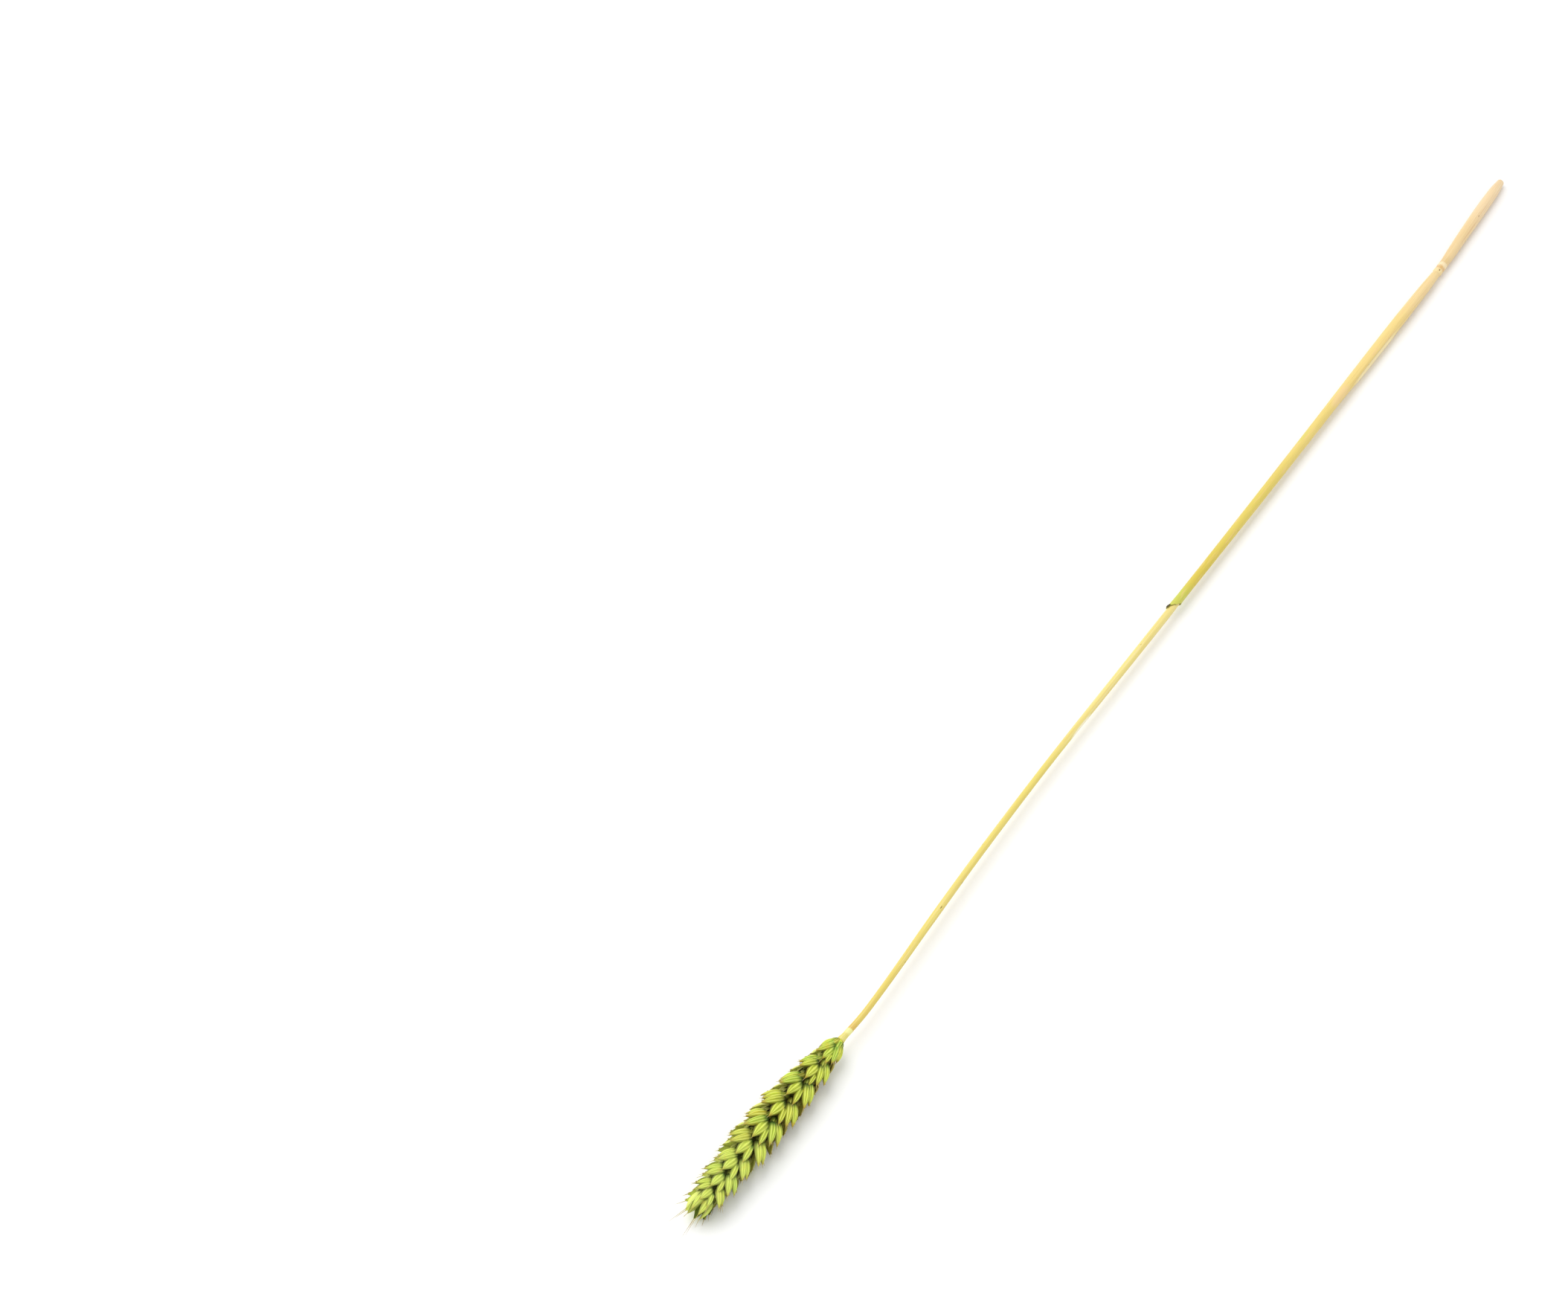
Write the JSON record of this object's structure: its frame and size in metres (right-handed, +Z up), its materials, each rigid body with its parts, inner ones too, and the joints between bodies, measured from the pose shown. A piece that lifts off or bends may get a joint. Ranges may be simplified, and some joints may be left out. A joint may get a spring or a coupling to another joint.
{
  "type": "wheat ear",
  "caption": "Ripe ear of wheat on its whole cut straw, lying down, with overlapping pointed scales, a jointed stalk and a torn leaf sheath.",
  "frame": {"origin": "on the surface the stem lies on, under the middle of its bounding box", "axes": "+X along the stem from the cut end to the tip of the ear, +Z up from the surface"},
  "size_m": [0.6466, 0.0166, 0.0122],
  "materials": {
    "straw": "smooth dry straw with a faint sheen",
    "leaf_sheath": "dry leaf, finely ribbed along its length",
    "ear": "dry papery scales with a soft sheen"
  },
  "bodies": {
    "root": {"straw": "straw", "leaf_sheath": "leaf_sheath", "ear": "ear"}
  },
  "joints": []
}
